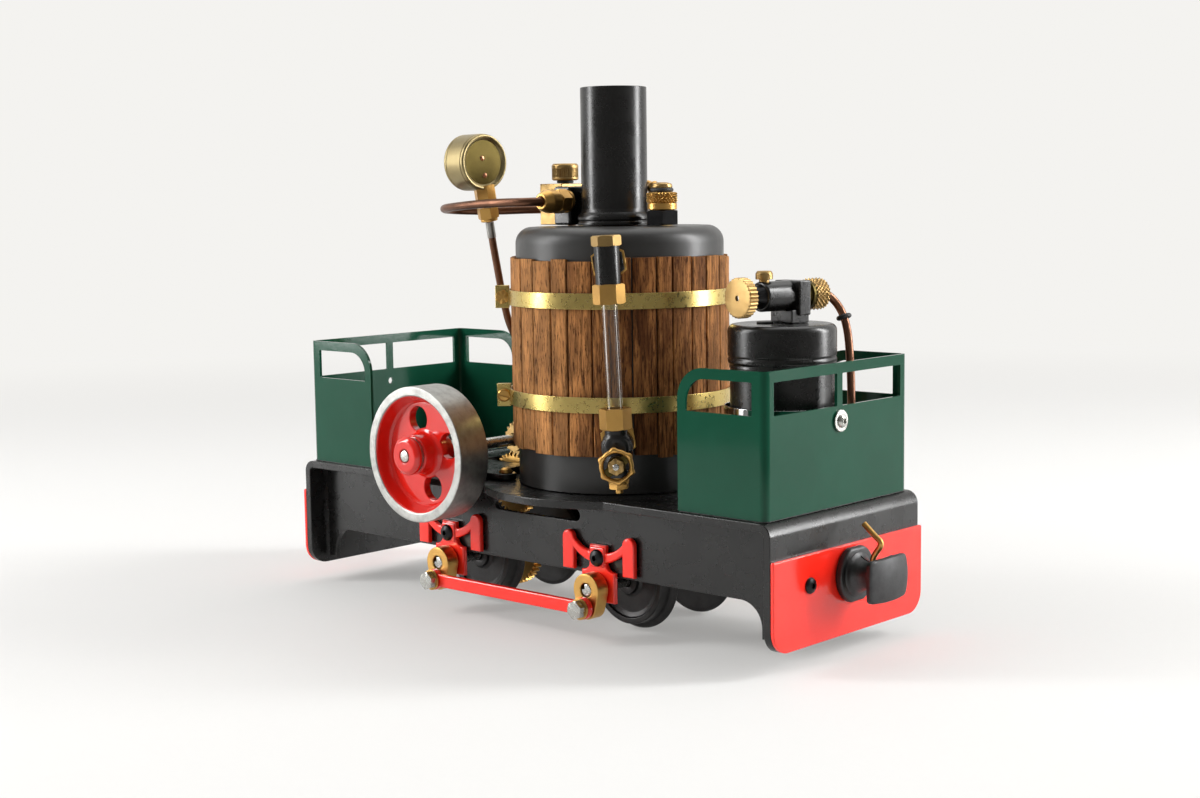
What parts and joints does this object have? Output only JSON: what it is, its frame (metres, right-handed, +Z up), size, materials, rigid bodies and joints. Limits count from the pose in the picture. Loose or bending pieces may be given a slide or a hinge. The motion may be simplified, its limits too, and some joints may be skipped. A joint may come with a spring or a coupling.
{
  "type": "model steam engine",
  "caption": "Small vertical-boiler live-steam locomotive: wood-lagged boiler on a railed footplate, flywheel side drive, geared wheels with coupling rods, gas tank and open bunkers at the ends.",
  "frame": {"origin": "on the floor under the wheels, at the middle of the bounding box", "axes": "+X along the locomotive towards the gas-tank end, +Z up, -Y towards the flywheel side"},
  "size_m": [0.2488, 0.1064, 0.178],
  "materials": {
    "black_paint": "satin black paint with fine texture",
    "red_enamel": "gloss red enamel",
    "green_enamel": "gloss deep green enamel",
    "brass": "turned brass, lightly tarnished",
    "copper": "browned copper tube",
    "bright_steel": "turned bright steel",
    "black_iron": "blackened wheel metal",
    "stave_wood": "brown stained hardwood staves",
    "gauge_glass": "clear drawn glass tube"
  },
  "bodies": {
    "chassis": {"footplate": "black_paint", "side_frame_right": "black_paint", "side_frame_left": "black_paint", "front_coupler": "black_paint", "rear_coupler": "black_paint", "boiler_shell": "black_paint", "chimney": "black_paint", "steam_elbow": "black_paint", "gas_tank": "black_paint", "gas_valve_body": "black_paint", "engine_frame": "black_paint", "axle_guard_right_front": "red_enamel", "axle_guard_right_rear": "red_enamel", "axle_guard_left_front": "red_enamel", "axle_guard_left_rear": "red_enamel", "front_buffer_plate": "red_enamel", "rear_buffer_plate": "red_enamel", "front_bunker": "green_enamel", "rear_bunker": "green_enamel", "lower_band": "brass", "upper_band": "brass", "burner": "brass", "safety_valve_body": "brass", "steam_block": "brass", "gauge_case": "brass", "water_gauge_top": "brass", "water_gauge_bottom": "brass", "flue_tube": "copper", "steam_pipe": "copper", "gauge_pipe": "copper", "gas_pipe": "copper", "water_bath": "bright_steel", "lagging": "stave_wood", "water_gauge_glass": "gauge_glass"},
    "crankshaft": {"crankshaft": "bright_steel", "flywheel": "bright_steel", "pinion": "brass"},
    "idler": {"idler_gear": "brass"},
    "rear_wheelset": {"rear_axle": "bright_steel", "rear_wheel_right": "black_iron", "rear_wheel_left": "black_iron", "rear_crank_right": "brass", "rear_crank_left": "brass", "axle_gear": "brass"},
    "front_wheelset": {"front_axle": "bright_steel", "front_wheel_right": "black_iron", "front_wheel_left": "black_iron", "front_crank_right": "brass", "front_crank_left": "brass"},
    "right_rod": {"coupling_rod_right": "red_enamel"},
    "left_rod": {"coupling_rod_left": "red_enamel"},
    "cylinder": {"cylinder": "brass"},
    "piston": {"piston_rod": "bright_steel"},
    "gas_knob": {"gas_knob": "brass"},
    "drain_handwheel": {"drain_handwheel": "brass"},
    "regulator_knob": {"regulator_knob": "brass"},
    "safety_valve_button": {"safety_valve_button": "brass"},
    "front_coupler_pin": {"front_coupler_pin": "brass"},
    "rear_coupler_pin": {"rear_coupler_pin": "brass"},
    "gauge_needle": {"gauge_needle": "black_paint"}
  },
  "joints": [
    {"name": "crankshaft_spin", "type": "hinge", "parent": "chassis", "child": "crankshaft", "pos_m": [-0.0305, 0.00525, 0.0564], "axis": [0, 1, 0], "continuous": true},
    {"name": "idler_spin", "type": "hinge", "parent": "chassis", "child": "idler", "pos_m": [-0.03329, 0.00525, 0.04014], "axis": [0, 1, 0], "continuous": true},
    {"name": "rear_axle_spin", "type": "hinge", "parent": "chassis", "child": "rear_wheelset", "pos_m": [-0.035, 0.00525, 0.0168], "axis": [0, 1, 0], "continuous": true},
    {"name": "front_axle_spin", "type": "hinge", "parent": "chassis", "child": "front_wheelset", "pos_m": [0.035, 0.00525, 0.0168], "axis": [0, 1, 0], "continuous": true},
    {"name": "right_rod_pivot", "type": "hinge", "parent": "rear_wheelset", "child": "right_rod", "pos_m": [-0.035, -0.03675, 0.0113], "axis": [0, 1, 0], "continuous": true},
    {"name": "left_rod_pivot", "type": "hinge", "parent": "rear_wheelset", "child": "left_rod", "pos_m": [-0.0295, 0.04725, 0.0168], "axis": [0, 1, 0], "continuous": true},
    {"name": "cylinder_swing", "type": "hinge", "parent": "chassis", "child": "cylinder", "pos_m": [-0.0305, 0.03575, 0.084], "axis": [0, 1, 0], "range_deg": [-13.6, 13.6]},
    {"name": "piston_slide", "type": "slide", "parent": "cylinder", "child": "piston", "axis": [0, 0, 1], "range_m": [-0.013, 0]},
    {"name": "gas_knob_turn", "type": "hinge", "parent": "chassis", "child": "gas_knob", "pos_m": [0.0829, 0.00525, 0.1103], "axis": [-0.1908, -0.9816, 0], "range_deg": [0, 540]},
    {"name": "drain_turn", "type": "hinge", "parent": "chassis", "child": "drain_handwheel", "pos_m": [0.01606, 0.00609, 0.05833], "axis": [0.6225, -0.7826, 0], "range_deg": [0, 540]},
    {"name": "regulator_turn", "type": "hinge", "parent": "chassis", "child": "regulator_knob", "pos_m": [-0.0129, 0.00855, 0.15], "axis": [0, 0, 1], "range_deg": [0, 270]},
    {"name": "safety_valve_lift", "type": "slide", "parent": "chassis", "child": "safety_valve_button", "axis": [0, 0, 1], "range_m": [0, 0.0015], "stiffness_N_per_m": 600},
    {"name": "front_pin_lift", "type": "slide", "parent": "chassis", "child": "front_coupler_pin", "axis": [0, 0, 1], "range_m": [0, 0.014]},
    {"name": "rear_pin_lift", "type": "slide", "parent": "chassis", "child": "rear_coupler_pin", "axis": [0, 0, 1], "range_m": [0, 0.014]},
    {"name": "gauge_sweep", "type": "hinge", "parent": "chassis", "child": "gauge_needle", "pos_m": [-0.0338, -0.00975, 0.1542], "axis": [-0.9925, 0.1219, 0], "range_deg": [-270, 0]}
  ],
  "couplings": [
    {"joint": "idler_spin", "follows": "crankshaft_spin", "ratio": -0.57143},
    {"joint": "rear_axle_spin", "follows": "crankshaft_spin", "ratio": 0.46512},
    {"joint": "front_axle_spin", "follows": "crankshaft_spin", "ratio": 0.46512},
    {"joint": "right_rod_pivot", "follows": "crankshaft_spin", "ratio": -0.46512},
    {"joint": "left_rod_pivot", "follows": "crankshaft_spin", "ratio": -0.46512}
  ]
}
